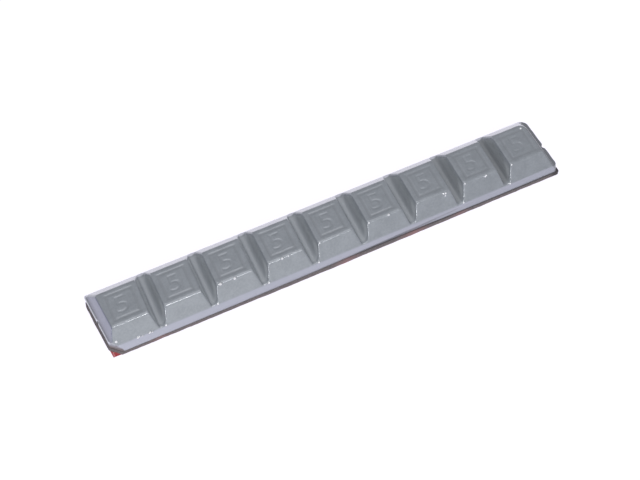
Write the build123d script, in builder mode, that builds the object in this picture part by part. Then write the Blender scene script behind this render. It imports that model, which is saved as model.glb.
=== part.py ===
"""Strip of stick-on wheel balance weights: one casting of equal segments on foam tape with a release liner.

The strip lies on its liner. X runs along the strip, Y across it, Z up, and the origin is at the middle
of the underside. Lengths are in millimetres and angles in degrees.
"""

import os
from math import atan2, cos, degrees, radians, sin, tan

from build123d import *

# Casting: segments and the grooves they are broken off at
segment_count = 9
segment_pitch = 12.2
block_height = 3.65
groove_top_width = 3.7
groove_floor_width = 1.5
groove_floor_rise = 0.15
groove_left_radius = 0.3
groove_right_radius = 1.1

# Casting: flat tops, side bevels and end walls
top_width = 8.8
bevel_run = 2.7
end_top_reach = 4.3
end_wall_run = 1.7
top_corner_radius = 0.25
bevel_edge_radius = 0.25

# Casting: plate under the blocks, with drafted sides, a ledge at each end and its corners trimmed
plate_thickness = 1.8
plate_side_run = 0.6
left_end_ledge = 0.5
right_end_ledge = 0.9
near_left_chamfer = 2.0
near_right_chamfer = 0.9
far_left_radius = 0.6
far_right_radius = 2.0

# Casting: ends, parted from the next strip a little out of square, each with a nick
left_end_skew = 4.7
right_end_skew = 2.0
nick_width = 1.4
nick_depth = 0.5
left_nick_place = 0.2
right_nick_place = -1.2

# Casting: square line sunk round the figure on each top
frame_length = 6.6
frame_width = 7.0
frame_line_width = 0.7
frame_depth = 0.15

# Adhesive tape, stuck on a little askew, and its release liner
tape_thickness = 1.0
tape_side_overhang = 0.1
tape_end_overhang = 0.3
tape_turn = 0.2
tape_chamfer = 1.7
tape_corner_radius = 0.4
liner_thickness = 0.12
liner_end_trim = 0.3

# Levels, from the underside up
plate_level = liner_thickness + tape_thickness
block_level = plate_level + plate_thickness
groove_level = block_level + groove_floor_rise
top_level = block_level + block_height
groove_depth = top_level - groove_level

# Reaches of the ends to the left and right of the origin, along the middle of the strip, and widths
bar_reach = (segment_count - 1) * segment_pitch / 2 + end_top_reach + end_wall_run
bar_width = top_width + 2 * bevel_run
plate_reaches = (bar_reach + left_end_ledge, bar_reach + right_end_ledge)
plate_width = bar_width + 2 * plate_side_run
uncut_length = sum(plate_reaches) + plate_width
tape_reaches = (plate_reaches[0] + tape_end_overhang, plate_reaches[1] + tape_end_overhang)
tape_width = plate_width + 2 * tape_side_overhang
liner_reaches = (tape_reaches[0] - liner_end_trim, tape_reaches[1] - liner_end_trim)

# Slopes of the walls, in degrees from the level
side_slope = degrees(atan2(plate_thickness, plate_side_run))
bevel_slope = degrees(atan2(block_height, bevel_run))
groove_slope = degrees(atan2(2 * groove_depth, groove_top_width - groove_floor_width))

# Rounds at the groove's feet, each no larger than its share of the floor allows
left_floor_share = 0.25
right_floor_share = 0.7
widest_round = groove_floor_width / tan(radians(groove_slope / 2))
groove_left_round = min(groove_left_radius, left_floor_share * widest_round)
groove_right_round = min(groove_right_radius, right_floor_share * widest_round)

# A face belongs to a bevel when its normal leans up and to the side by more than these
least_rise = 0.1
least_lean = 0.3

standing = (Align.CENTER, Align.MIN)

os.makedirs("parts", exist_ok=True)


def left_end(reaches, y):
    """Give the point at which the left end, out of square, crosses a line along the strip."""
    return (-reaches[0] - y * tan(radians(left_end_skew)), y)


def right_end(reaches, y):
    """Give the point at which the right end, out of square, crosses a line along the strip."""
    return (reaches[1] - y * tan(radians(right_end_skew)), y)


def strip_corners(reaches, width):
    """Give the corners of an outline with such ends: near left, near right, far right, far left."""
    near, far = -width / 2, width / 2
    return (left_end(reaches, near), right_end(reaches, near), right_end(reaches, far), left_end(reaches, far))


def stuck_plane(level):
    """Give the plane that the tape and its liner are laid out on, at a level."""
    turn = radians(tape_turn)
    return Plane((0, 0, level), x_dir=(cos(turn), sin(turn), 0), z_dir=(0, 0, 1))


# Casting
with BuildPart() as weight_strip:
    # Outline along the strip: an uncut bar with the grooves that part it into blocks
    with BuildSketch(Plane.XZ) as side_outline:
        with Locations((0, plate_level)):
            Rectangle(uncut_length, plate_thickness + block_height, align=standing)
        with Locations((0, groove_level)):
            with GridLocations(segment_pitch, 0, segment_count - 1, 1):
                Trapezoid(
                    groove_top_width, groove_depth, 180 - groove_slope, align=standing, mode=Mode.SUBTRACT
                )
        groove_rims = side_outline.vertices().group_by(Axis.Y)[-1].sort_by(Axis.X)[1:-1]
        fillet(groove_rims, top_corner_radius)
        groove_feet = side_outline.vertices().filter_by_position(Axis.Y, groove_level, groove_level)
        fillet(groove_feet.sort_by(Axis.X)[1::2], groove_right_round)
        groove_feet = side_outline.vertices().filter_by_position(Axis.Y, groove_level, groove_level)
        fillet(groove_feet.sort_by(Axis.X)[0::2], groove_left_round)
    extrude(amount=plate_width / 2, both=True)

    # Outline across the strip: the plate's drafted sides and the bevels of the blocks
    with BuildSketch(Plane.YZ):
        with Locations((0, plate_level)):
            Trapezoid(plate_width, plate_thickness, side_slope, align=standing)
        with Locations((0, block_level)):
            Trapezoid(bar_width, block_height, bevel_slope, align=standing)
    extrude(amount=uncut_length / 2, both=True, mode=Mode.INTERSECT)

    # End walls, drafted, and as far out of square as the ends
    for side, skew in ((-1, left_end_skew), (1, right_end_skew)):
        outward = Vector(side * cos(radians(skew)), side * sin(radians(skew)), 0)
        foot = (side * bar_reach, 0, block_level)
        with BuildSketch(Plane(foot, x_dir=outward, z_dir=outward.cross(Vector(0, 0, 1)))):
            Polygon(
                (0, 0),
                (uncut_length, 0),
                (uncut_length, 2 * block_height),
                (-2 * end_wall_run, 2 * block_height),
                align=None,
            )
        extrude(amount=plate_width, both=True, mode=Mode.SUBTRACT)

    # One soft edge runs over every top and through every groove, along each bevel, and over each end
    bevels = weight_strip.faces().filter_by(GeomType.PLANE).filter_by(
        lambda face: face.normal_at().Z > least_rise and abs(face.normal_at().Y) > least_lean
    )
    bevel_rims = bevels.edges().filter_by(lambda edge: edge.center().Z > block_level + groove_floor_rise / 2)
    top_rims = weight_strip.edges().filter_by_position(Axis.Z, top_level, top_level).sort_by(Axis.X)
    fillet([*bevel_rims, top_rims[0], top_rims[-1]], bevel_edge_radius)

    # Outline from above: slanted ends, trimmed corners and the nick in each end
    with BuildSketch(Plane.XY.offset(plate_level)) as plan_outline:
        near_left, near_right, far_right, far_left = strip_corners(plate_reaches, plate_width)
        Polygon(near_left, near_right, far_right, far_left, align=None)
        with Locations(left_end(plate_reaches, left_nick_place), right_end(plate_reaches, right_nick_place)):
            Polygon(
                (-nick_depth, 0),
                (0, -nick_width / 2),
                (nick_depth, 0),
                (0, nick_width / 2),
                align=None,
                mode=Mode.SUBTRACT,
            )
        chamfer(plan_outline.vertices().sort_by_distance(near_left)[0], near_left_chamfer)
        chamfer(plan_outline.vertices().sort_by_distance(near_right)[0], near_right_chamfer)
        fillet(plan_outline.vertices().sort_by_distance(far_left)[0], far_left_radius)
        fillet(plan_outline.vertices().sort_by_distance(far_right)[0], far_right_radius)
    extrude(amount=plate_thickness + block_height, mode=Mode.INTERSECT)

    # Square line sunk into each top
    with BuildSketch(Plane.XY.offset(top_level)):
        with GridLocations(segment_pitch, 0, segment_count, 1):
            Rectangle(frame_length, frame_width)
            Rectangle(
                frame_length - 2 * frame_line_width, frame_width - 2 * frame_line_width, mode=Mode.SUBTRACT
            )
    extrude(amount=-frame_depth, mode=Mode.SUBTRACT)

weight_strip.part.label = "weight_strip"
export_step(weight_strip.part, "parts/weight_strip.step")

# Foam tape under the whole plate, trimmed with it at the near left corner
with BuildPart() as adhesive_tape:
    with BuildSketch(stuck_plane(liner_thickness)) as tape_outline:
        Polygon(*strip_corners(tape_reaches, tape_width), align=None)
        tape_corners = tape_outline.vertices().sort_by_distance(strip_corners(tape_reaches, tape_width)[0])
        chamfer(tape_corners[0], tape_chamfer)
        fillet(tape_corners[1:], tape_corner_radius)
    extrude(amount=tape_thickness)

adhesive_tape.part.label = "adhesive_tape"
export_step(adhesive_tape.part, "parts/adhesive_tape.step")

# Release liner, as wide as the tape, with its near left corner left on as a tip to lift it by
with BuildPart() as release_liner:
    with BuildSketch(stuck_plane(0)):
        Polygon(*strip_corners(liner_reaches, tape_width), align=None)
    extrude(amount=liner_thickness)

release_liner.part.label = "release_liner"
export_step(release_liner.part, "parts/release_liner.step")
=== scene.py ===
"""Looks of a strip of stick-on wheel balance weights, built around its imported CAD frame.

The strip is a grey coated casting of equal blocks on dark foam tape with a red release liner. Pieces
are modelled in millimetres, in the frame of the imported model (X along the strip, Y away from the camera
and Z up), and brought to metres when they are finished.
"""

import logging
import math
from contextlib import contextmanager
from dataclasses import dataclass, field, replace
from enum import Enum, IntEnum
from typing import Callable, Iterable, Iterator

import bmesh
import bpy
from mathutils import Matrix, Vector


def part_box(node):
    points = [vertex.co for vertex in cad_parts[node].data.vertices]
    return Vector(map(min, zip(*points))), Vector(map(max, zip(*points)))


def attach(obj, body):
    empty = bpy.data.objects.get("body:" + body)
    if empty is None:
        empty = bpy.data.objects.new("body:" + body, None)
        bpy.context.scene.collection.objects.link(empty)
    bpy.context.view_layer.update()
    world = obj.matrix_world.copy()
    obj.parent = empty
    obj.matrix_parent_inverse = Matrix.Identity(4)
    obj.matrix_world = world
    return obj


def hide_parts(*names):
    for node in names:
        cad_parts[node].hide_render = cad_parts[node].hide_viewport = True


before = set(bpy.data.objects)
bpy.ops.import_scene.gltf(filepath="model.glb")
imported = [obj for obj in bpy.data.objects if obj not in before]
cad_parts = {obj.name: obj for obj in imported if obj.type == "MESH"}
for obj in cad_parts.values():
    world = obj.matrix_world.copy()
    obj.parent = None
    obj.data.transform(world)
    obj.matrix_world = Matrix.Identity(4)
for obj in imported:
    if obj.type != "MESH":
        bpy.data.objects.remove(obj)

LOG = logging.getLogger("balance_weight")
MM = 0.001
BODY = "root"
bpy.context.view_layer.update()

# Places closer than this count as one, in millimetres
CLOSE = 0.01
# A face looks along an axis when its normal has at least this share of it
FACING = 0.9
# Most values of a noise texture lie between these
NOISE_LOW = 0.3
NOISE_HIGH = 0.7

Piece = bpy.types.Object
Socket = bpy.types.NodeSocket
Colour = tuple[float, float, float]


class Pick(Enum):
    """What an edit-mode selection is made of."""

    FACES = "FACE"
    EDGES = "EDGE"
    POINTS = "VERT"


class End(IntEnum):
    """An end of the strip, or a side of a groove, as the sign of its place along the strip."""

    LEFT = -1
    RIGHT = 1


class Side(IntEnum):
    """A long side of the strip, as the sign of its place across it."""

    NEAR = -1
    FAR = 1


def node_box(node: str) -> tuple[Vector, Vector]:
    """Give a CAD node's lowest and highest corners in millimetres."""
    low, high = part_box(node)
    return low / MM, high / MM


def stand_alone(piece: Piece) -> None:
    """Select one piece alone and make it active.

    Args:
        piece: the object to select.
    """
    bpy.ops.object.select_all(action="DESELECT")
    piece.select_set(True)
    bpy.context.view_layer.objects.active = piece


@contextmanager
def editing(piece: Piece, pick: Pick = Pick.FACES) -> Iterator[bmesh.types.BMesh]:
    """Open one piece in edit mode with nothing selected.

    Args:
        piece: the mesh object to edit.
        pick: the kind of element that selections are made of.

    Returns:
        The edit mesh, for choosing elements by place or normal.
    """
    stand_alone(piece)
    bpy.ops.object.mode_set(mode="EDIT")
    bpy.ops.mesh.select_mode(type=pick.value)
    bpy.ops.mesh.select_all(action="DESELECT")
    yield bmesh.from_edit_mesh(piece.data)
    bpy.ops.object.mode_set(mode="OBJECT")


def choose(elements: Iterable, test: Callable[[object], bool]) -> None:
    """Select the elements of an edit mesh that pass a test, and no others.

    Args:
        elements: the mesh's faces, edges or points.
        test: tells whether an element is wanted.
    """
    bpy.ops.mesh.select_all(action="DESELECT")
    for element in elements:
        if test(element):
            element.select_set(True)


def together(first: Vector, second: Vector) -> bool:
    """Tell whether two places count as one."""
    return (first - second).length < CLOSE


def looks_up(face: bmesh.types.BMFace) -> bool:
    """Tell whether a face looks straight up."""
    return face.normal.z > FACING


def extrude_up(height: float) -> None:
    """Extrude the chosen faces up by a height, or down where it is negative."""
    bpy.ops.mesh.extrude_region_move(TRANSFORM_OT_translate={"value": (0.0, 0.0, height)})


def bevel_edges(piece: Piece, test: Callable[[object], bool], size: float, facets: int) -> None:
    """Bevel the edges of a piece that pass a test.

    Args:
        piece: the mesh object.
        test: tells whether an edge is wanted.
        size: how much of each side the bevel takes.
        facets: 1 for a chamfer, more for a round.
    """
    with editing(piece, Pick.EDGES) as mesh:
        choose(mesh.edges, test)
        bpy.ops.mesh.bevel(offset=size, segments=facets, affect="EDGES")


def cube(name: str, low: Iterable[float], high: Iterable[float]) -> Piece:
    """Add a cube between two corners, with its place in its mesh.

    Args:
        name: the new piece's name.
        low: its lowest corner.
        high: its highest corner.

    Returns:
        The new mesh object, at the origin.
    """
    low, high = Vector(low), Vector(high)
    bpy.ops.object.select_all(action="DESELECT")
    bpy.ops.mesh.primitive_cube_add(size=1.0, location=(low + high) / 2)
    piece = bpy.context.object
    piece.name = name
    piece.scale = high - low
    settle(piece)
    return piece


def settle(piece: Piece) -> None:
    """Put an object's place, turn and scale into its mesh."""
    stand_alone(piece)
    bpy.ops.object.transform_apply(location=True, rotation=True, scale=True)


def copied(piece: Piece, offset: Iterable[float]) -> Piece:
    """Copy a piece with its own mesh.

    Args:
        piece: the piece to copy, at the origin.
        offset: how far from it the copy goes.

    Returns:
        The copy, with its place in its mesh.
    """
    stand_alone(piece)
    bpy.ops.object.duplicate(linked=False)
    twin = bpy.context.object
    twin.location = Vector(offset)
    settle(twin)
    return twin


def joined(pieces: list[Piece]) -> Piece:
    """Join several meshes into one object.

    Args:
        pieces: the mesh objects.

    Returns:
        The first of them, which then holds them all.
    """
    bpy.ops.object.select_all(action="DESELECT")
    for piece in pieces:
        piece.select_set(True)
    bpy.context.view_layer.objects.active = pieces[0]
    bpy.ops.object.join()
    return pieces[0]


def in_a_row(piece: Piece, count: int, pitch: float) -> Piece:
    """Replace a piece at the middle by a centred row of copies along the strip.

    Args:
        piece: the piece to repeat.
        count: how many copies there are.
        pitch: how far each is from the next.

    Returns:
        The row, joined into one object.
    """
    row = [copied(piece, ((place - (count - 1) / 2) * pitch, 0.0, 0.0)) for place in range(count)]
    bpy.data.objects.remove(piece)
    return joined(row)


def apply_all(piece: Piece) -> None:
    """Apply every modifier of a piece, in order.

    Args:
        piece: the mesh object.
    """
    stand_alone(piece)
    for name in [modifier.name for modifier in piece.modifiers]:
        bpy.ops.object.modifier_apply(modifier=name)


def carve(piece: Piece, cutter: Piece) -> None:
    """Cut one mesh out of another.

    Args:
        piece: the mesh to cut.
        cutter: what is cut out of it, deleted afterwards.
    """
    cut = piece.modifiers.new("carve", "BOOLEAN")
    cut.operation = "DIFFERENCE"
    cut.solver = "EXACT"
    cut.object = cutter
    apply_all(piece)
    bpy.data.objects.remove(cutter)


def weld(piece: Piece) -> None:
    """Merge points that lie together and turn every face outwards.

    Args:
        piece: the mesh object.
    """
    with editing(piece, Pick.POINTS):
        bpy.ops.mesh.select_all(action="SELECT")
        bpy.ops.mesh.remove_doubles(threshold=CLOSE)
        bpy.ops.mesh.normals_make_consistent(inside=False)


@dataclass(frozen=True)
class Grain:
    """One scale of unevenness in a surface: the size and the height of its humps."""

    size: float
    height: float
    octaves: int = 2

    def add_to(self, piece: Piece, along: str = "NORMAL") -> None:
        """Displace a piece by clouds of this grain.

        Args:
            piece: the mesh object.
            along: "NORMAL", or the axis to displace along.
        """
        clouds = bpy.data.textures.new("grain", "CLOUDS")
        clouds.noise_scale = self.size
        clouds.noise_depth = self.octaves
        humps = piece.modifiers.new("grain", "DISPLACE")
        humps.texture = clouds
        humps.texture_coords = "LOCAL"
        humps.strength = self.height
        humps.direction = along


@dataclass(frozen=True)
class Skin:
    """How a modelled form becomes one soft-edged, uneven surface."""

    voxel: float
    softening: int
    grains: tuple[Grain, ...]
    triangles: int
    wear: int = 8
    pull: float = 0.5

    def grow(self, piece: Piece, worn: Callable[[Vector], bool] | None = None) -> None:
        """Rebuild a piece as one surface, soften its edges, and roughen and thin it.

        Args:
            piece: the modelled form.
            worn: a test of a place, for the edges that are rounder than the others.
        """
        shell = piece.modifiers.new("shell", "REMESH")
        shell.mode = "VOXEL"
        shell.voxel_size = self.voxel
        soften = piece.modifiers.new("soften", "SMOOTH")
        soften.factor = self.pull
        soften.iterations = self.softening
        apply_all(piece)
        if worn:
            with editing(piece, Pick.POINTS) as mesh:
                choose(mesh.verts, lambda point: worn(point.co))
                bpy.ops.mesh.vertices_smooth(factor=self.pull, repeat=self.wear)
        for grain in self.grains:
            grain.add_to(piece)
        apply_all(piece)
        triangles = sum(len(face.vertices) - 2 for face in piece.data.polygons)
        if triangles > self.triangles:
            thin = piece.modifiers.new("thin", "DECIMATE")
            thin.ratio = self.triangles / triangles
            apply_all(piece)


def cut_level(piece: Piece, level: float, keep_above: bool) -> None:
    """Cut a piece off flat at a level and close it there.

    Args:
        piece: the mesh object.
        level: the height of the cut.
        keep_above: whether the part above the cut is kept, or the part below.
    """
    with editing(piece, Pick.EDGES):
        bpy.ops.mesh.select_all(action="SELECT")
        bpy.ops.mesh.bisect(
            plane_co=(0.0, 0.0, level),
            plane_no=(0.0, 0.0, 1.0),
            clear_inner=keep_above,
            clear_outer=not keep_above,
        )
        bpy.ops.mesh.edge_face_add()
        bpy.ops.mesh.quads_convert_to_tris(quad_method="BEAUTY", ngon_method="CLIP")
        bpy.ops.mesh.select_all(action="SELECT")
        bpy.ops.mesh.normals_make_consistent(inside=False)


def deliver(piece: Piece, node: str, material: bpy.types.Material) -> None:
    """Bring a finished piece to metres, dress it and let it stand for its CAD node.

    Args:
        piece: the finished piece, in millimetres.
        node: the CAD node it stands for.
        material: what the piece is dressed in.
    """
    piece.scale = (MM, MM, MM)
    settle(piece)
    bpy.ops.object.shade_smooth()
    piece.data.materials.clear()
    piece.data.materials.append(material)
    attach(piece, BODY)
    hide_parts(node)
    LOG.info("%s: %d faces, stands for %s", piece.name, len(piece.data.polygons), node)


@dataclass(frozen=True)
class Trim:
    """A trimmed upright corner: which it is, how much of each side it takes and its number of facets."""

    end: End
    side: Side
    size: float
    facets: int = 1


@dataclass(frozen=True)
class StripPlan:
    """Outline from above: a rectangle whose ends, placed on its middle line, are cut out of square."""

    left: float
    right: float
    width: float
    left_skew: float = math.radians(4.7)
    right_skew: float = math.radians(2.0)

    def end_place(self, end: End) -> float:
        """Give where an end crosses the strip's middle line."""
        return self.left if end is End.LEFT else self.right

    def lean(self, x: float, y: float) -> float:
        """Give how far a point at an end is moved along the strip by that end's skew."""
        return -y * math.tan(self.left_skew if x < 0 else self.right_skew)

    def corner(self, end: End, side: Side) -> Vector:
        """Give a corner of the outline."""
        x, y = self.end_place(end), side * self.width / 2
        return Vector((x + self.lean(x, y), y))

    def slant(self, piece: Piece) -> None:
        """Slant both ends of a piece about the strip's middle line.

        Args:
            piece: a piece with points at its ends only.
        """
        with editing(piece, Pick.POINTS) as mesh:
            for point in mesh.verts:
                choose(mesh.verts, lambda other: other == point)
                bpy.ops.transform.translate(value=(self.lean(point.co.x, point.co.y), 0.0, 0.0))

    def slab(self, name: str, bottom: float, top: float) -> Piece:
        """Add a slab of this outline.

        Args:
            name: the new piece's name.
            bottom: the level of its underside.
            top: the level of its top.

        Returns:
            The slab.
        """
        piece = cube(name, (self.left, -self.width / 2, bottom), (self.right, self.width / 2, top))
        self.slant(piece)
        return piece

    def trim(self, piece: Piece, trim: Trim) -> None:
        """Chamfer or round one upright corner edge of a slab.

        Args:
            piece: the slab.
            trim: which corner, how much of it, and in how many facets.
        """
        corner = self.corner(trim.end, trim.side)
        bevel_edges(
            piece,
            lambda edge: all(together(point.co.xy, corner) for point in edge.verts),
            trim.size,
            trim.facets,
        )


@dataclass(frozen=True)
class Bow:
    """A shallow bow in a strip's near edge: its place along the strip, reach to each side and depth."""

    place: float
    reach: float
    depth: float
    cuts: int = 160
    grip: float = 0.5

    def divide(self, piece: Piece, top: float) -> None:
        """Divide the long near edges of a piece, so that they can bend.

        Args:
            piece: the mesh object.
            top: the level above which edges are left alone.
        """
        with editing(piece, Pick.EDGES) as mesh:
            choose(mesh.edges, lambda edge: self.runs_near(edge, top))
            bpy.ops.mesh.subdivide(number_cuts=self.cuts)

    def runs_near(self, edge: bmesh.types.BMEdge, top: float) -> bool:
        """Tell whether an edge runs far along the strip's near side.

        Args:
            edge: the edge.
            top: the level above which no edge counts.

        Returns:
            Whether it does.
        """
        first, last = (point.co for point in edge.verts)
        is_low = max(first.z, last.z) < top + CLOSE
        return is_low and max(first.y, last.y) < 0 and abs(first.x - last.x) > self.reach

    def bend(self, piece: Piece, top: float) -> None:
        """Bend divided near edges out by the depth, or in where it is negative.

        Args:
            piece: the mesh object.
            top: the level above which points are not held.
        """
        with editing(piece, Pick.POINTS) as mesh:
            choose(
                mesh.verts,
                lambda point: point.co.y < 0
                and point.co.z < top + CLOSE
                and abs(point.co.x - self.place) < self.grip,
            )
            bpy.ops.transform.translate(
                value=(0.0, -self.depth, 0.0),
                use_proportional_edit=True,
                proportional_edit_falloff="SMOOTH",
                proportional_size=self.reach,
            )


@dataclass(frozen=True)
class Bead:
    """A small drop of coat on the casting: its segment, place from that segment's middle and size."""

    segment: int
    along: float
    across: float
    below_top: float
    radius: float

    def on_each(self, segments: Iterable[int]) -> tuple["Bead", ...]:
        """Give this bead again on each of several segments."""
        return tuple(replace(self, segment=segment) for segment in segments)


@dataclass
class CastStrip:
    """Grey casting: a plate with bevelled blocks between grooves, each with a sunk square and figure."""

    segments: int = 9
    pitch: float = 12.2
    plate_thickness: float = 1.8
    plate_width: float = 15.5
    left_ledge: float = 0.3
    right_ledge: float = 0.9
    far_flare: float = 0.35
    near_flare: float = 0.3
    near_bow: Bow = Bow(12.0, 26.0, -0.2)
    near_left: Trim = Trim(End.LEFT, Side.NEAR, 2.0)
    near_right: Trim = Trim(End.RIGHT, Side.NEAR, 0.9, 3)
    far_left: Trim = Trim(End.LEFT, Side.FAR, 0.6, 4)
    far_right: Trim = Trim(End.RIGHT, Side.FAR, 2.0, 8)
    top_width: float = 8.8
    bevel_run: float = 2.7
    end_reaches: tuple[float, float] = (6.25, 6.0)
    end_wall_runs: tuple[float, float] = (1.65, 1.7)
    far_rounds: tuple[float, float] = (0.7, 1.6)
    far_round_facets: int = 6
    groove_top: float = 3.6
    groove_floor: float = 1.5
    groove_rise: float = 0.08
    groove_rounds: tuple[float, float] = (0.2, 0.85)
    groove_round_facets: int = 8
    rim_round: float = 0.34
    rim_round_facets: int = 4
    square_size: Vector = field(default_factory=lambda: Vector((6.6, 7.0)))
    square_line_width: float = 0.7
    mark_depth: float = 0.055
    worn_reach: float = 0.45
    figure: str = "5"
    figure_size: Vector = field(default_factory=lambda: Vector((2.8, 4.2)))
    figure_place: Vector = field(default_factory=lambda: Vector((-0.3, 0.1)))
    nick_size: Vector = field(default_factory=lambda: Vector((1.0, 1.4)))
    nick_corners: int = 4
    nick_places: tuple[float, float] = (0.2, -1.2)
    overlap: float = 0.6
    clear: float = 2.0
    beads: tuple[Bead, ...] = (
        Bead(1, -4.4, -6.55, 2.9, 0.25),
        Bead(1, 0.2, -7.25, 3.67, 0.2),
        Bead(1, 0.6, -7.2, 3.6, 0.15),
        Bead(1, 1.3, -7.3, 3.67, 0.14),
        Bead(1, 2.8, -7.3, 3.62, 0.17),
        Bead(1, 3.1, -7.25, 3.6, 0.2),
        Bead(1, 3.6, -7.35, 3.67, 0.16),
        Bead(3, -3.5, -4.6, 0.15, 0.3),
        Bead(3, -0.1, -4.6, 0.2, 0.28),
        Bead(4, -0.9, -4.5, 0.15, 0.24),
        Bead(4, 0.6, -4.5, 0.15, 0.17),
        Bead(6, 0.95, -4.45, 0.15, 0.22),
        Bead(7, 2.6, -4.7, 0.35, 0.14),
        Bead(7, 3.1, -4.75, 0.4, 0.18),
        Bead(7, 2.9, -5.1, 0.8, 0.14),
        Bead(8, 1.2, -4.65, 0.3, 0.16),
        Bead(8, 1.5, -4.55, 0.2, 0.16),
        Bead(9, 2.9, 3.5, 0.1, 0.22),
    )
    foot_drop: Bead = Bead(2, -5.4, -7.1, 3.6, 0.18)
    foot_drop_segments: tuple[int, ...] = (2, 3, 4, 5, 8, 9)
    corner_drop: Bead = Bead(5, -4.0, -4.5, 0.15, 0.15)
    corner_drop_segments: tuple[int, ...] = (5, 6, 8, 9)
    bead_subdivisions: int = 3
    skin: Skin = Skin(0.12, 3, (Grain(3.0, 0.035), Grain(0.7, 0.009)), 190_000)

    def __post_init__(self) -> None:
        """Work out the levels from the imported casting, and the outlines and beads from the sizes."""
        low, high = node_box("weight_strip")
        self.plate_level = low.z
        self.block_level = low.z + self.plate_thickness
        self.top_level = high.z
        self.block_height = self.top_level - self.block_level
        self.groove_level = self.block_level + self.groove_rise
        left = self.segment_middle(1) - self.end_reaches[0]
        right = self.segment_middle(self.segments) + self.end_reaches[1]
        self.bar_plan = StripPlan(left, right, self.top_width + 2 * self.bevel_run)
        self.plate_plan = StripPlan(left - self.left_ledge, right + self.right_ledge, self.plate_width)
        self.beads += self.foot_drop.on_each(self.foot_drop_segments)
        self.beads += self.corner_drop.on_each(self.corner_drop_segments)

    def segment_middle(self, segment: int) -> float:
        """Give where along the strip a segment's middle is, counted from 1 at the left."""
        return (segment - (self.segments + 1) / 2) * self.pitch

    def plate(self) -> Piece:
        """Model the plate under the blocks, its sides drafted and each corner trimmed its own way.

        Returns:
            The plate, reaching below its level by the overlap.
        """
        plate = self.plate_plan.slab("cast_strip", self.plate_level, self.block_level)
        for trim in (self.near_left, self.near_right, self.far_left, self.far_right):
            self.plate_plan.trim(plate, trim)
        draft = (1.0, self.bar_plan.width / self.plate_width, 1.0)
        with editing(plate) as mesh:
            choose(mesh.faces, looks_up)
            bpy.ops.transform.resize(value=draft, center_override=(0.0, 0.0, self.block_level))
            choose(mesh.faces, lambda face: face.normal.z < -FACING)
            extrude_up(-self.overlap)
        with editing(plate, Pick.POINTS) as mesh:
            choose(mesh.verts, lambda point: point.co.y > 0 and point.co.z > self.block_level - CLOSE)
            bpy.ops.transform.translate(value=(0.0, self.far_flare, 0.0))
            choose(
                mesh.verts,
                lambda point: max(point.co.xy) < 0 and point.co.z < self.plate_level + CLOSE,
            )
            bpy.ops.transform.translate(value=(0.0, -self.near_flare, 0.0))
        self.near_bow.divide(plate, self.plate_level)
        self.near_bow.bend(plate, self.plate_level)
        for end, place in zip(End, self.nick_places):
            carve(plate, self.nick(end, place))
        return plate

    def corner_cut(self) -> Piece:
        """Model the cutter that trims the bar's near left corner in line with the plate's.

        Returns:
            The cutter.
        """
        reach = self.near_left.size / math.sqrt(2)
        low = Vector((-reach, -reach, self.plate_level - self.overlap))
        cutter = cube("corner_cut", low, (reach, reach, self.top_level + self.clear))
        cutter.location.xy = self.plate_plan.corner(End.LEFT, Side.NEAR)
        cutter.rotation_euler.z = math.pi / 4
        settle(cutter)
        return cutter

    def nick(self, end: End, place: float) -> Piece:
        """Model the cutter for the nick in one end.

        Args:
            end: the end that is nicked.
            place: the nick's place across the strip.

        Returns:
            The cutter, an upright prism.
        """
        x = self.plate_plan.end_place(end)
        bpy.ops.object.select_all(action="DESELECT")
        bpy.ops.mesh.primitive_cylinder_add(
            vertices=self.nick_corners,
            radius=0.5,
            depth=2 * (self.plate_thickness + self.clear),
            location=(x + self.plate_plan.lean(x, place), place, self.plate_level),
        )
        nick = bpy.context.object
        nick.scale = (*self.nick_size, 1.0)
        settle(nick)
        return nick

    def bar(self) -> Piece:
        """Model the long bevelled bar that the grooves part into blocks.

        Returns:
            The bar, reaching into the plate by the overlap.
        """
        plan = self.bar_plan
        foot = self.block_level - self.overlap
        near, far = -plan.width / 2, plan.width / 2
        bar = cube("bar", (plan.left, near, foot), (plan.right, far, self.block_level))
        left_run, right_run = self.end_wall_runs
        share = (left_run + right_run) / (plan.right - plan.left)
        narrowed = (1 - share, self.top_width / plan.width, 1.0)
        held = plan.left + left_run / share
        with editing(bar) as mesh:
            choose(mesh.faces, looks_up)
            extrude_up(self.block_height)
            bpy.ops.transform.resize(value=narrowed, center_override=(held, 0.0, self.top_level))
        plan.slant(bar)
        with editing(bar, Pick.POINTS) as mesh:
            choose(mesh.verts, lambda point: point.co.y > 0 and point.co.z < self.block_level + CLOSE)
            bpy.ops.transform.translate(value=(0.0, self.far_flare, 0.0))
        for end, size in zip(End, self.far_rounds):
            bevel_edges(bar, lambda edge: self.up_far_corner(edge, end), size, self.far_round_facets)
        bevel_edges(bar, self.along_top, self.rim_round, self.rim_round_facets)
        carve(bar, self.corner_cut())
        return bar

    def along_top(self, edge: bmesh.types.BMEdge) -> bool:
        """Tell whether an edge lies at the level of the tops."""
        return min(point.co.z for point in edge.verts) > self.top_level - CLOSE

    def up_far_corner(self, edge: bmesh.types.BMEdge, end: End) -> bool:
        """Tell whether an edge of the bar runs up its far corner at an end."""
        low, high = sorted((point.co for point in edge.verts), key=lambda place: place.z)
        return low.y > 0 and high.y > 0 and low.x * end > 0 and high.z - low.z > CLOSE

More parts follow.
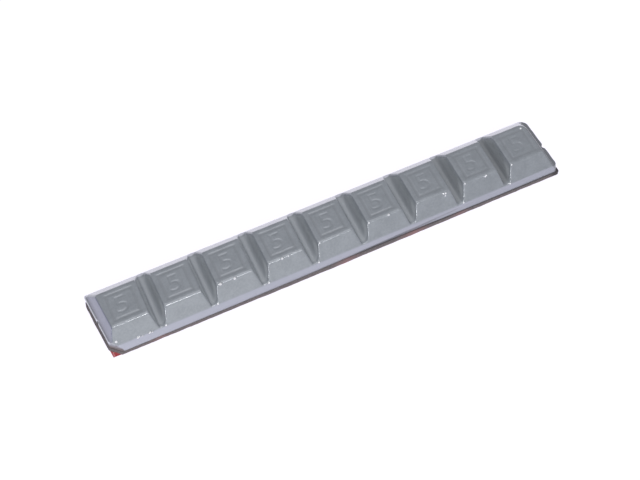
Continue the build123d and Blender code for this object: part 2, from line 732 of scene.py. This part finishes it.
    def groove(self) -> Piece:
        """Model the cutter for one break groove, with its right foot rounder than its left.

        Returns:
            The cutter, a trough that is wider at the top.
        """
        half = Vector((self.groove_floor / 2, self.plate_plan.width))
        groove = cube("groove", (-half.x, -half.y, self.groove_level), (half.x, half.y, self.top_level))
        flare = (self.groove_top / self.groove_floor, 1.0, 1.0)
        with editing(groove) as mesh:
            choose(mesh.faces, looks_up)
            bpy.ops.transform.resize(value=flare, center_override=(0.0, 0.0, self.top_level))
            extrude_up(self.clear)
        for side, size in zip(End, self.groove_rounds):
            bevel_edges(
                groove,
                lambda edge: self.along_groove_foot(edge, side),
                size,
                self.groove_round_facets,
            )
        return groove

    def along_groove_foot(self, edge: bmesh.types.BMEdge, side: End) -> bool:
        """Tell whether an edge of the groove cutter is the foot of one of its walls."""
        foot = Vector((side * self.groove_floor / 2, self.groove_level))
        return all(together(point.co.xz, foot) for point in edge.verts)

    def square_line(self) -> Piece:
        """Model the cutter for the sunk square line: a cube with a square hole through it.

        Returns:
            The cutter.
        """
        half = self.square_size / 2
        floor = self.top_level - self.mark_depth
        low, high = (-half.x, -half.y, floor), (half.x, half.y, self.top_level + self.clear)
        line = cube("square_line", low, high)
        with editing(line) as mesh:
            choose(mesh.faces, lambda face: abs(face.normal.z) > FACING)
            bpy.ops.mesh.inset(thickness=self.square_line_width)
            bpy.ops.mesh.bridge_edge_loops()
        weld(line)
        return line

    def sunk_figure(self) -> Piece:
        """Model the cutter for the figure on one top.

        Returns:
            The cutter, the figure's size by its outline.
        """
        bpy.ops.object.select_all(action="DESELECT")
        bpy.ops.object.text_add(location=(0.0, 0.0, 0.0))
        figure = bpy.context.object
        figure.data.body = self.figure
        figure.data.size = self.figure_size.y
        figure.data.extrude = (self.mark_depth + self.clear) / 2
        bpy.ops.object.convert(target="MESH")
        corners = [Vector(corner) for corner in figure.bound_box]
        low = Vector(map(min, *corners))
        high = Vector(map(max, *corners))
        width, height = high.x - low.x, high.y - low.y
        stretch = Vector((self.figure_size.x / width, self.figure_size.y / height, 1.0))
        figure.scale = stretch
        middle = (low + high) / 2 * stretch
        level = self.top_level + (self.clear - self.mark_depth) / 2
        figure.location = Vector((*self.figure_place, level)) - middle
        settle(figure)
        weld(figure)
        return figure

    def bead_middle(self, bead: Bead) -> Vector:
        """Give the middle of a bead."""
        x = self.segment_middle(bead.segment) + bead.along
        return Vector((x, bead.across, self.top_level - bead.below_top))

    def drop(self, bead: Bead) -> Piece:
        """Model one bead.

        Args:
            bead: its place and size.

        Returns:
            The bead, a small ball.
        """
        bpy.ops.object.select_all(action="DESELECT")
        bpy.ops.mesh.primitive_ico_sphere_add(
            subdivisions=self.bead_subdivisions,
            radius=bead.radius,
            location=self.bead_middle(bead),
        )
        drop = bpy.context.object
        settle(drop)
        return drop

    def on_block_corner(self, place: Vector) -> bool:
        """Tell whether a place lies along an upright corner edge of a block, beside a groove.

        Args:
            place: a place on the casting.

        Returns:
            Whether it is within the worn reach of such an edge.
        """
        depth = self.top_level - place.z
        bevel = self.top_width / 2 + self.bevel_run * depth / self.block_height
        past_grooves = abs(place.x) > self.segment_middle(self.segments)
        if past_grooves or abs(abs(place.y) - bevel) > self.worn_reach:
            return False
        from_groove = abs(place.x / self.pitch % 1.0 - 0.5) * self.pitch
        closing = (self.groove_top - self.groove_floor) / 2 / (self.top_level - self.groove_level)
        return abs(from_groove - self.groove_top / 2 + depth * closing) < self.worn_reach

    def build(self, coat: bpy.types.Material) -> None:
        """Model the casting, dress it and set it in its node's place.

        Args:
            coat: its material.
        """
        bar = self.bar()
        carve(bar, in_a_row(self.groove(), self.segments - 1, self.pitch))
        carve(bar, in_a_row(self.square_line(), self.segments, self.pitch))
        carve(bar, in_a_row(self.sunk_figure(), self.segments, self.pitch))
        strip = joined([self.plate(), bar, *[self.drop(bead) for bead in self.beads]])
        self.skin.grow(strip, self.on_block_corner)
        cut_level(strip, self.plate_level, keep_above=True)
        deliver(strip, "weight_strip", coat)


@dataclass
class TapeStrip:
    """Dark foam tape under the casting, stuck on a little askew."""

    left: float = -55.8
    right: float = 56.0
    width: float = 16.1
    shift: float = -0.1
    turn: float = math.radians(0.05)
    trims: tuple[Trim, ...] = (
        Trim(End.LEFT, Side.NEAR, 2.2),
        Trim(End.LEFT, Side.FAR, 2.4, 3),
        Trim(End.RIGHT, Side.NEAR, 0.4, 3),
        Trim(End.RIGHT, Side.FAR, 0.4, 3),
    )
    near_bow: Bow = Bow(-6.0, 34.0, 0.13)
    overlap: float = 0.5
    skin: Skin = Skin(0.2, 2, (Grain(2.2, 0.16), Grain(0.6, 0.07)), 60_000)

    def build(self, foam: bpy.types.Material) -> None:
        """Model the tape, dress it and set it in its node's place.

        Args:
            foam: its material.
        """
        low, high = node_box("adhesive_tape")
        plan = StripPlan(self.left, self.right, self.width)
        tape = plan.slab("foam_tape", low.z - self.overlap, high.z + self.overlap)
        for trim in self.trims:
            plan.trim(tape, trim)
        self.near_bow.divide(tape, high.z + self.overlap)
        self.near_bow.bend(tape, high.z + self.overlap)
        self.skin.grow(tape)
        cut_level(tape, low.z, keep_above=True)
        cut_level(tape, high.z, keep_above=False)
        tape.location.y = self.shift
        tape.rotation_euler.z = self.turn
        settle(tape)
        deliver(tape, "adhesive_tape", foam)


@dataclass
class LinerFilm:
    """Red release film under the tape, with an uneven rim that shows past it here and there."""

    left: float = -55.6
    right: float = 55.7
    width: float = 15.9
    turn: float = math.radians(0.05)
    cuts: int = 160
    wave: Grain = Grain(5.0, 0.2)
    bows: tuple[Bow, ...] = (Bow(1.0, 6.0, 0.24), Bow(18.0, 6.0, 0.2))
    far_left: Trim = Trim(End.LEFT, Side.FAR, 2.8)

    def build(self, film: bpy.types.Material) -> None:
        """Model the film with an uneven rim, dress it and set it in its node's place.

        Args:
            film: its material.
        """
        low, high = node_box("release_liner")
        plan = StripPlan(self.left, self.right, self.width)
        liner = plan.slab("release_film", low.z, high.z)
        plan.trim(liner, self.far_left)
        with editing(liner, Pick.EDGES) as mesh:
            choose(mesh.edges, lambda edge: abs(edge.verts[0].co.x - edge.verts[1].co.x) > self.width)
            bpy.ops.mesh.subdivide(number_cuts=self.cuts)
        for bow in self.bows:
            bow.bend(liner, high.z)
        self.wave.add_to(liner, "Y")
        apply_all(liner)
        liner.rotation_euler.z = self.turn
        settle(liner)
        deliver(liner, "release_liner", film)


@dataclass(frozen=True)
class Noise:
    """3-D noise on object coordinates: features to the metre, octaves and weight of the finer ones."""

    scale: float
    detail: float
    roughness: float = 0.5


@dataclass(frozen=True)
class Fade:
    """The soft edge of a mask: where it begins and ends, in millimetres past the feature it follows."""

    begin: float
    end: float


class NodeBench:
    """A material's node tree, with short calls to add and join nodes."""

    def __init__(self, name: str) -> None:
        """Start an empty tree that ends in a Principled shader.

        Args:
            name: the material's name.
        """
        self.material = bpy.data.materials.new(name)
        self.material.use_nodes = True
        self.tree = self.material.node_tree
        self.tree.nodes.clear()
        self.shader = self.add("ShaderNodeBsdfPrincipled")
        output = self.add("ShaderNodeOutputMaterial")
        self.link(self.shader.outputs["BSDF"], output.inputs["Surface"])
        self.place = self.add("ShaderNodeTexCoord").outputs["Object"]

    def add(self, kind: str, **settings: object) -> bpy.types.Node:
        """Add a node.

        Args:
            kind: the node's type.
            settings: its properties, by name.

        Returns:
            The node.
        """
        node = self.tree.nodes.new(kind)
        for key, value in settings.items():
            setattr(node, key, value)
        return node

    def link(self, source: Socket, target: Socket) -> None:
        """Join an output to an input."""
        self.tree.links.new(source, target)

    def feed(self, name: str, source: Socket) -> None:
        """Join an output to one of the shader's inputs."""
        self.link(source, self.shader.inputs[name])

    def set(self, **values: object) -> None:
        """Set constant inputs of the shader, with spaces in their names written as underscores."""
        for key, value in values.items():
            self.shader.inputs[key.replace("_", " ")].default_value = value

    def noise(self, noise: Noise) -> Socket:
        """Add 3-D noise on object coordinates.

        Args:
            noise: its scale, detail and roughness.

        Returns:
            The noise value socket.
        """
        node = self.add("ShaderNodeTexNoise")
        node.inputs["Scale"].default_value = noise.scale
        node.inputs["Detail"].default_value = noise.detail
        node.inputs["Roughness"].default_value = noise.roughness
        self.link(self.place, node.inputs["Vector"])
        return node.outputs["Fac"]

    def spread(self, value: Socket, low: float, high: float,
               bottom: float = NOISE_LOW, top: float = NOISE_HIGH) -> Socket:
        """Map a socket from one range to another, clamped.

        Args:
            value: the socket.
            low: the result at the bottom of its range.
            high: the result at the top of its range.
            bottom: where its range begins.
            top: where its range ends.

        Returns:
            The mapped socket.
        """
        node = self.add("ShaderNodeMapRange")
        node.inputs["From Min"].default_value = bottom
        node.inputs["From Max"].default_value = top
        node.inputs["To Min"].default_value = low
        node.inputs["To Max"].default_value = high
        self.link(value, node.inputs["Value"])
        return node.outputs["Result"]

    def rise(self, value: Socket, fade: Fade, past: float = 0.0, peak: float = 1.0) -> Socket:
        """Give a mask that rises from 0 to a peak across a fade, past a feature in millimetres."""
        return self.spread(value, 0.0, peak, (past + fade.begin) * MM, (past + fade.end) * MM)

    def fall(self, value: Socket, fade: Fade, past: float = 0.0, peak: float = 1.0) -> Socket:
        """Give a mask that falls from a peak to 0 across a fade, past a feature in millimetres."""
        return self.spread(value, peak, 0.0, (past + fade.begin) * MM, (past + fade.end) * MM)

    def mix(self, factor: Socket, first: Colour | Socket, second: Colour | Socket) -> Socket:
        """Mix two colours.

        Args:
            factor: the share of the second colour.
            first: a colour or a colour socket.
            second: a colour or a colour socket.

        Returns:
            The mixed colour.
        """
        node = self.add("ShaderNodeMix", data_type="RGBA")
        for name, colour in (("A", first), ("B", second)):
            if isinstance(colour, tuple):
                node.inputs[name].default_value = (*colour, 1.0)
            else:
                self.link(colour, node.inputs[name])
        self.link(factor, node.inputs["Factor"])
        return node.outputs["Result"]

    def math(self, operation: str, *values: float | Socket) -> Socket:
        """Add a math node.

        Args:
            operation: what it works out.
            values: its inputs, in order.

        Returns:
            The result.
        """
        node = self.add("ShaderNodeMath", operation=operation)
        for socket, value in zip(node.inputs, values):
            if isinstance(value, float):
                socket.default_value = value
            else:
                self.link(value, socket)
        return node.outputs["Value"]

    def axes(self) -> tuple[Socket, ...]:
        """Give the object coordinates apart.

        Returns:
            X, Y and Z in metres.
        """
        node = self.add("ShaderNodeSeparateXYZ")
        self.link(self.place, node.inputs["Vector"])
        return tuple(node.outputs)

    def distance(self, place: Vector) -> Socket:
        """Give how far the object coordinates are from a place.

        Args:
            place: the place, in metres.

        Returns:
            The distance in metres.
        """
        node = self.add("ShaderNodeVectorMath", operation="DISTANCE")
        self.link(self.place, node.inputs[0])
        node.inputs[1].default_value = place
        return node.outputs["Value"]

    def bump(self, height: Socket, strength: float, distance: float) -> None:
        """Bump the shader's normal.

        Args:
            height: the height of the bumps, from 0 to 1.
            strength: how much they turn the normal.
            distance: how high 1 is, in metres.
        """
        node = self.add("ShaderNodeBump")
        node.inputs["Strength"].default_value = strength
        node.inputs["Distance"].default_value = distance
        self.link(height, node.inputs["Height"])
        self.feed("Normal", node.outputs["Normal"])


@dataclass
class CastMasks:
    """Masks of the casting's features: sockets that are 1 on a feature and fade to 0 off it."""

    bench: NodeBench
    cast: CastStrip
    groove_depth: Fade = Fade(0.3, 1.5)
    groove_side: Fade = Fade(0.25, 0.9)
    groove_floor: Fade = Fade(2.6, 3.3)
    shaded_floors_from: float = 0.2
    line_depth: Fade = Fade(0.2, 0.3)
    line_side: Fade = Fade(-0.15, 0.05)
    line_peak: float = 0.5
    rim_height: Fade = Fade(-0.3, 0.1)
    rim_side: Fade = Fade(-0.3, 0.1)
    rim_edge: Fade = Fade(-0.6, -0.2)
    far_half: Fade = Fade(0.0, 1.0)
    trim_side: Fade = Fade(0.1, 0.4)
    lip_side: Fade = Fade(-0.55, -0.2)
    lip_height: Fade = Fade(0.3, 0.7)
    left_wall_side: Fade = Fade(0.06, 0.2)
    left_wall_foot: Fade = Fade(0.0, 0.15)
    left_wall_height: Fade = Fade(0.0, 1.5)
    right_wall_side: Fade = Fade(-0.4, -0.1)
    ledge_side: Fade = Fade(-0.2, -0.05)
    trim_foot_height: Fade = Fade(-1.2, -0.5)
    bead_halo: float = 1.3

    def __post_init__(self) -> None:
        """Work out what several masks share."""
        bench, cast = self.bench, self.cast
        self.plan = cast.bar_plan
        self.x, self.y, self.z = bench.axes()
        self.aside = bench.math("ABSOLUTE", self.y)
        self.depth = bench.math("SUBTRACT", cast.top_level * MM, self.z)
        self.from_left = bench.math("MULTIPLY_ADD", self.y, math.tan(self.plan.left_skew), self.x)
        self.above_foot = bench.rise(self.z, self.left_wall_foot, cast.block_level)
        self.top_edge = bench.rise(self.z, self.rim_edge, cast.block_level)
        # All along the trimmed corner's face, X and Y add up to the same
        trim = sum(cast.plate_plan.corner(End.LEFT, Side.NEAR)) + cast.near_left.size
        self.trimmed = bench.fall(bench.math("ADD", self.x, self.y), self.trim_side, trim)

    def both(self, first: Socket, second: Socket) -> Socket:
        """Give the mask of what two masks share."""
        return self.bench.math("MULTIPLY", first, second)

    def rightward(self) -> Socket:
        """Give a slope from 0 at the left end to 1 at the right, along which painted reflection fades."""
        return self.bench.rise(self.x, Fade(self.plan.left, self.plan.right))

    def shaded_floors(self) -> Socket:
        """Give a slope along the part of the strip in which painted shade darkens the groove floors."""
        return self.bench.rise(self.x, Fade(self.shaded_floors_from * self.plan.right, self.plan.right))

    def grooves(self) -> Socket:
        """Give the mask of the grooves' walls and floors, for their painted light and shade.

        Returns:
            The mask, of what is well below the tops and well inside the bevels.
        """
        flare = self.cast.bevel_run / self.cast.block_height
        bevel = self.bench.math("MULTIPLY_ADD", self.depth, flare, self.cast.top_width / 2 * MM)
        inside = self.bench.math("SUBTRACT", bevel, self.aside)
        below_top = self.bench.rise(self.depth, self.groove_depth)
        return self.both(below_top, self.bench.rise(inside, self.groove_side))

    def groove_floors(self) -> Socket:
        """Give the mask of the grooves' floors, also true of other low places."""
        return self.bench.rise(self.depth, self.groove_floor)

    def square_lines(self) -> Socket:
        """Give the mask of the sunk square line of every top, which painted shade darkens.

        Returns:
            The mask, which is no more than its peak.
        """
        bench, cast = self.bench, self.cast
        half_line = cast.square_line_width / 2
        middle = cast.square_size / 2 - Vector((half_line, half_line))
        from_middle = bench.math("PINGPONG", self.x, cast.pitch / 2 * MM)
        along = bench.math("SUBTRACT", from_middle, middle.x * MM)
        across = bench.math("SUBTRACT", self.aside, middle.y * MM)
        off_line = bench.math("ABSOLUTE", bench.math("MAXIMUM", along, across))
        on_top = bench.fall(self.depth, self.line_depth, peak=self.line_peak)
        return self.both(on_top, bench.fall(off_line, self.line_side, half_line))

    def rim(self) -> Socket:
        """Give the mask of the plate's long sides and trimmed corner, for their painted reflection.

        Returns:
            The mask.
        """
        low = self.bench.fall(self.z, self.rim_height, self.cast.block_level)
        outside = self.bench.rise(self.aside, self.rim_side, self.plan.width / 2)
        return self.both(low, self.bench.math("MAXIMUM", outside, self.trimmed))

    def far_edge(self) -> Socket:
        """Give the mask of the top edge of the plate's far side, for its painted glint."""
        return self.both(self.top_edge, self.bench.rise(self.y, self.far_half))

    def far_lip(self) -> Socket:
        """Give the mask of the foot of the far bevel, where it meets the plate, for its painted
        reflection.
        """
        far = self.bench.rise(self.y, self.lip_side, self.plan.width / 2)
        return self.both(far, self.bench.fall(self.z, self.lip_height, self.cast.block_level))

    def left_wall(self) -> Socket:
        """Give the mask of the left end wall, for its painted shade.

        Returns:
            The mask, of what is above the wall's foot and no further right than its face.
        """
        run = self.cast.end_wall_runs[0]
        slope = run / self.cast.block_height
        off_wall = self.bench.math("MULTIPLY_ADD", self.depth, slope, self.from_left)
        on_wall = self.bench.fall(off_wall, self.left_wall_side, self.plan.left + run)
        return self.both(on_wall, self.above_foot)

    def up_left_wall(self) -> Socket:
        """Give a slope from 0 at the foot of the left end wall to 1 further up, across which its painted
        shade lightens.
        """
        return self.bench.rise(self.z, self.left_wall_height, self.cast.block_level)

    def right_wall(self) -> Socket:
        """Give the mask of the right end wall and the plate past it, for their painted shade.

        Returns:
            The mask.
        """
        run = self.cast.end_wall_runs[1]
        from_right = self.bench.math("MULTIPLY_ADD", self.y, math.tan(self.plan.right_skew), self.x)
        slope = -run / self.cast.block_height
        off_wall = self.bench.math("MULTIPLY_ADD", self.depth, slope, from_right)
        return self.bench.rise(off_wall, self.right_wall_side, self.plan.right - run)

    def left_ledge(self) -> Socket:
        """Give the mask of the plate past the left end wall, for its painted reflection and highlight."""
        past_wall = self.bench.fall(self.from_left, self.ledge_side, self.plan.left)
        return self.both(self.bench.math("SUBTRACT", 1.0, self.above_foot), past_wall)

    def trim_foot_dark(self) -> Socket:
        """Give the mask of the lower part of the trimmed corner."""
        low = self.bench.fall(self.z, self.trim_foot_height, self.cast.block_level)
        return self.both(low, self.trimmed)

    def bead(self, bead: Bead) -> Socket:
        """Give the mask of one bead, which fades out across a narrow halo, for its painted glint."""
        away = self.bench.distance(self.cast.bead_middle(bead) * MM)
        return self.bench.fall(away, Fade(bead.radius, self.bead_halo * bead.radius))


@dataclass(frozen=True)
class CastingCoat:
    """Satin silver-grey coat on a rough casting, with painted light, shade, reflections and glints."""

    cast: CastStrip
    pale: Colour = (0.312, 0.336, 0.371)
    deep: Colour = (0.267, 0.289, 0.32)
    # Painted shade: the sunk square lines are darkened as if shaded in their recess.
    sunk_line_shade: Colour = (0.255, 0.273, 0.3)
    # Painted light in the grooves: walls and left floors paler than the coat; painted shade darkens the
    # floors to the right.
    groove_wall_light: Colour = (0.49, 0.515, 0.54)
    left_floor_light: Colour = (0.41, 0.435, 0.468)
    right_floor_shade: Colour = (0.18, 0.19, 0.205)
    # Painted reflection of the white floor on the plate's sides and trimmed corner, paler and bluer,
    # fading to the right.
    left_rim_reflection: Colour = (0.435, 0.45, 0.525)
    right_rim_reflection: Colour = (0.34, 0.355, 0.415)
    # Painted shade on the left end wall, with a lavender reflected tint, darkest at its foot.
    left_end_shade: Colour = (0.183, 0.198, 0.268)
    left_end_foot_shade: Colour = (0.086, 0.091, 0.128)
    # Painted shade on the right end wall.
    right_end_shade: Colour = (0.2, 0.21, 0.235)
    # Painted reflection along the far bevel's foot and painted highlight on the left ledge's top edge.
    painted_ledge_light: Colour = (0.7, 0.7, 0.79)
    # Darker brown towards the foot of the trimmed corner.
    trim_foot_dark: Colour = (0.13, 0.1, 0.1)
    # Painted glint on the far top edge of the plate and on the beads.
    painted_glint: Colour = (0.9, 0.9, 0.93)
    mottle: Noise = Noise(420.0, 4.0)
    speckle: Noise = Noise(2200.0, 2.0)
    speckle_low: float = 0.76
    speckle_high: float = 1.24
    sheen: Noise = Noise(900.0, 3.0)
    smoothest: float = 0.32
    roughest: float = 0.42
    metallic: float = 0.35
    lacquer: float = 1.0
    lacquer_roughness: float = 0.12
    pitting: Noise = Noise(2600.0, 4.0, 0.6)
    pitting_strength: float = 0.07
    pitting_depth: float = 0.05 * MM

    def material(self) -> bpy.types.Material:
        """Build the coat's material.

        Returns:
            The material.
        """
        bench = NodeBench("casting_coat")
        bench.feed("Base Color", self.colour(bench))
        bench.feed("Roughness", bench.spread(bench.noise(self.sheen), self.smoothest, self.roughest))
        bench.set(Metallic=self.metallic)
        bench.set(Coat_Weight=self.lacquer, Coat_Roughness=self.lacquer_roughness)
        bench.bump(bench.noise(self.pitting), self.pitting_strength, self.pitting_depth)
        return bench.material

    def colour(self, bench: NodeBench) -> Socket:
        """Paint the coat's colours over each other, feature by feature.

        Args:
            bench: the coat's node tree.

        Returns:
            The colour.
        """
        masks = CastMasks(bench, self.cast)
        grains = bench.math("ADD", bench.noise(self.mottle), bench.noise(self.speckle))
        speckled = bench.spread(grains, 0.0, 1.0, self.speckle_low, self.speckle_high)
        # Groove floors: painted light at the left, painted shade towards the right.
        floor = bench.mix(masks.shaded_floors(), self.left_floor_light, self.right_floor_shade)
        # Plate sides: painted reflection, fading to the right.
        rim = bench.mix(masks.rightward(), self.left_rim_reflection, self.right_rim_reflection)
        layers = (
            # Painted light on the groove walls and floors, painted shade on the right floors
            (masks.grooves(), bench.mix(masks.groove_floors(), self.groove_wall_light, floor)),
            # Painted shade in the sunk square lines
            (masks.square_lines(), self.sunk_line_shade),
            # Painted reflection on the plate's sides, painted glint on its far top edge
            (masks.rim(), bench.mix(masks.far_edge(), rim, self.painted_glint)),
            # Painted reflection at the far bevel's foot
            (masks.far_lip(), self.painted_ledge_light),
            # Painted shade on the left end wall, darkest at its foot
            (masks.left_wall(), bench.mix(masks.up_left_wall(), self.left_end_foot_shade, self.left_end_shade)),
            # Painted shade on the right end wall
            (masks.right_wall(), self.right_end_shade),
            # Painted highlight on the left ledge's top edge
            (masks.left_ledge(), bench.mix(masks.top_edge, rim, self.painted_ledge_light)),
            # Darker brown on the trimmed corner's foot
            (masks.trim_foot_dark(), self.trim_foot_dark),
            # Painted glints on the beads
            *((masks.bead(bead), self.painted_glint) for bead in self.cast.beads),
        )
        colour = bench.mix(speckled, self.deep, self.pale)
        for mask, paint in layers:
            colour = bench.mix(mask, colour, paint)
        return colour


@dataclass(frozen=True)
class Blush:
    """A reddish patch on the tape's edge: its place along the strip, reach to each side and strength."""

    place: float
    reach: float
    strength: float


@dataclass(frozen=True)
class FoamSkin:
    """Dark closed-cell foam, brown where glue shows along the foot, with painted shade under the
    casting's edge.
    """

    pale: Colour = (0.21, 0.185, 0.195)
    deep: Colour = (0.12, 0.108, 0.115)
    glue: Colour = (0.25, 0.175, 0.165)
    glue_peak: float = 0.8
    # Painted shade on the tape's ledge under the casting's near edge, stronger to the right, and at its
    # right tip.
    painted_shade: Colour = (0.05, 0.045, 0.05)
    ledge_shade_near: Fade = Fade(-8.05, -7.85)
    ledge_shade_far: Fade = Fade(-7.4, -7.0)
    ledge_shade_start: Fade = Fade(-20.0, 10.0)
    ledge_shade_peak: float = 0.7
    shaded_tip: Fade = Fade(53.5, 54.8)
    shaded_tip_peak: float = 0.8
    red: Colour = (0.31, 0.18, 0.185)
    blushes: tuple[Blush, ...] = (
        Blush(-44.0, 3.0, 0.6),
        Blush(1.0, 4.0, 0.65),
        Blush(18.0, 4.5, 0.9),
        Blush(30.0, 3.0, 0.6),
    )
    cells: Noise = Noise(3500.0, 3.0)
    cell_strength: float = 0.6
    cell_depth: float = 0.1 * MM
    roughness: float = 0.9

    def material(self) -> bpy.types.Material:
        """Build the foam's material.

        Returns:
            The material.
        """
        bench = NodeBench("foam_skin")
        cells = bench.noise(self.cells)
        low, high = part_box("adhesive_tape")
        x, y, z = bench.axes()
        colour = bench.mix(bench.spread(cells, 0.0, 1.0), self.deep, self.pale)
        foot = bench.spread(z, self.glue_peak, 0.0, low.z, (low.z + high.z) / 2)
        colour = bench.mix(foot, colour, self.glue)
        for blush in self.blushes:
            away = bench.math("ABSOLUTE", bench.math("SUBTRACT", x, blush.place * MM))
            reddened = bench.fall(away, Fade(0.0, blush.reach), peak=blush.strength)
            colour = bench.mix(reddened, colour, self.red)
        # Painted shade on the ledge under the casting's near edge, stronger to the right
        on_ledge = bench.math("MULTIPLY", bench.rise(y, self.ledge_shade_near), bench.fall(y, self.ledge_shade_far))
        painted_shade = bench.math("MULTIPLY", on_ledge, bench.rise(x, self.ledge_shade_start, peak=self.ledge_shade_peak))
        # Painted shade also at the right tip
        dark = bench.math("MAXIMUM", bench.rise(x, self.shaded_tip, peak=self.shaded_tip_peak), painted_shade)
        bench.feed("Base Color", bench.mix(dark, colour, self.painted_shade))
        bench.set(Roughness=self.roughness)
        bench.bump(cells, self.cell_strength, self.cell_depth)
        return bench.material


@dataclass(frozen=True)
class RedFilm:
    """Smooth red film."""

    pale: Colour = (0.42, 0.035, 0.05)
    deep: Colour = (0.3, 0.024, 0.034)
    streaks: Noise = Noise(700.0, 3.0)
    streak_strength: float = 0.15
    streak_depth: float = 0.05 * MM
    smoothest: float = 0.3
    roughest: float = 0.45

    def material(self) -> bpy.types.Material:
        """Build the film's material.

        Returns:
            The material.
        """
        bench = NodeBench("red_film")
        streaks = bench.noise(self.streaks)
        bench.feed("Base Color", bench.mix(bench.spread(streaks, 0.0, 1.0), self.deep, self.pale))
        bench.feed("Roughness", bench.spread(streaks, self.smoothest, self.roughest))
        bench.bump(streaks, self.streak_strength, self.streak_depth)
        return bench.material


@dataclass(frozen=True)
class Lamp:
    """A soft lamp: the place it shines from, its width and height, and its level on a facing surface."""

    name: str
    place: tuple[float, float, float]
    width: float
    height: float
    level: float

    def hang(self) -> None:
        """Hang the lamp so that it faces the strip, with the power that its level needs from there."""
        place = Vector(self.place)
        light = bpy.data.lights.new(self.name, "AREA")
        light.shape = "RECTANGLE"
        light.size = self.width
        light.size_y = self.height
        light.energy = self.level * math.pi ** 2 * place.length_squared
        lamp = bpy.data.objects.new(self.name, light)
        lamp.location = place
        lamp.rotation_euler = place.to_track_quat("Z", "Y").to_euler()
        bpy.context.scene.collection.objects.link(lamp)


@dataclass
class Studio:
    """White floor, soft lamps and the photograph's camera."""

    azimuth: float = math.radians(-23.62)
    elevation: float = math.radians(59.52)
    roll: float = math.radians(-1.54)
    aim: Vector = field(default_factory=lambda: Vector((-2.76, -1.90, 2.92)) * MM)
    distance: float = 270.9 * MM
    lens: float = 67.5
    sensor: float = 36.0
    nearest: float = 10.0 * MM
    floor_size: float = 6.0
    floor_roughness: float = 0.9
    floor_bounce: float = 0.85
    floor_shown: float = 0.2
    floor_glow: float = 0.9
    glow_tint: Colour = (1.0, 0.975, 1.1)
    fill_tint: Colour = (0.96, 0.97, 1.0)
    fill: float = 0.5
    lamps: tuple[Lamp, ...] = (
        Lamp("overhead", (0.0, 0.0, 0.79), 0.5, 0.5, 0.17),
        Lamp("rim_glint_left", (0.0, -0.585, 0.545), 0.07, 0.1, 0.11),
        Lamp("rim_glint_right", (0.12, -0.585, 0.545), 0.1, 0.1, 0.078),
        Lamp("front_card_short", (-0.0825, -0.58, 0.09), 0.345, 0.18, 0.021),
        Lamp("front_card_middle", (-0.0475, -0.58, 0.09), 0.415, 0.18, 0.021),
        Lamp("front_card_long", (-0.0125, -0.58, 0.09), 0.485, 0.18, 0.021),
        Lamp("left_glint", (-0.485, -0.35, 0.127), 0.05, 0.13, 0.22),
    )

    def build(self) -> None:
        """Make the floor, the world, the lamps and the camera."""
        self.floor()
        self.world()
        for lamp in self.lamps:
            lamp.hang()
        self.camera()

    def floor(self) -> None:
        """Lay a white floor that keeps the strip's shadow."""
        bpy.ops.object.select_all(action="DESELECT")
        bpy.ops.mesh.primitive_plane_add(size=self.floor_size)
        floor = bpy.context.object
        floor.name = "floor"
        bench = NodeBench("white_floor")
        path = bench.add("ShaderNodeLightPath")
        seen = path.outputs["Is Camera Ray"]
        for ray in ("Is Glossy Ray", "Is Transmission Ray"):
            seen = bench.math("MAXIMUM", seen, path.outputs[ray])
        bench.feed("Base Color", bench.mix(seen, (self.floor_bounce,) * 3, (self.floor_shown,) * 3))
        bench.feed("Emission Strength", bench.spread(seen, 0.0, self.floor_glow, 0.0, 1.0))
        bench.set(Roughness=self.floor_roughness, Specular_IOR_Level=0.0)
        bench.set(Emission_Color=(*self.glow_tint, 1.0))
        floor.data.materials.append(bench.material)

    def world(self) -> None:
        """Surround the strip with even, dim light."""
        world = bpy.data.worlds.new("studio")
        world.use_nodes = True
        backdrop = world.node_tree.nodes["Background"]
        backdrop.inputs["Color"].default_value = (*self.fill_tint, 1.0)
        backdrop.inputs["Strength"].default_value = self.fill
        bpy.context.scene.world = world

    def camera(self) -> None:
        """Set the camera where the photograph was taken from."""
        lens = bpy.data.cameras.new("camera")
        lens.lens = self.lens
        lens.sensor_width = self.sensor
        lens.sensor_fit = "HORIZONTAL"
        lens.clip_start = self.nearest
        back = Vector((
            math.sin(self.azimuth) * math.cos(self.elevation),
            -math.cos(self.azimuth) * math.cos(self.elevation),
            math.sin(self.elevation),
        ))
        level = Vector((0.0, 0.0, 1.0)).cross(back).normalized()
        upright = back.cross(level)
        right = math.cos(self.roll) * level + math.sin(self.roll) * upright
        up = back.cross(right)
        camera = bpy.data.objects.new("camera", lens)
        turn = Matrix((right, up, back)).transposed().to_4x4()
        camera.matrix_world = Matrix.Translation(self.aim + back * self.distance) @ turn
        bpy.context.scene.collection.objects.link(camera)
        bpy.context.scene.camera = camera


def main() -> None:
    """Build the strip's pieces in order, then the studio round them."""
    logging.basicConfig(level=logging.INFO, format="%(message)s")
    cast = CastStrip()
    cast.build(CastingCoat(cast).material())
    TapeStrip().build(FoamSkin().material())
    LinerFilm().build(RedFilm().material())
    Studio().build()
    bpy.context.scene.view_settings.view_transform = "Standard"


if __name__ == "__main__":
    main()
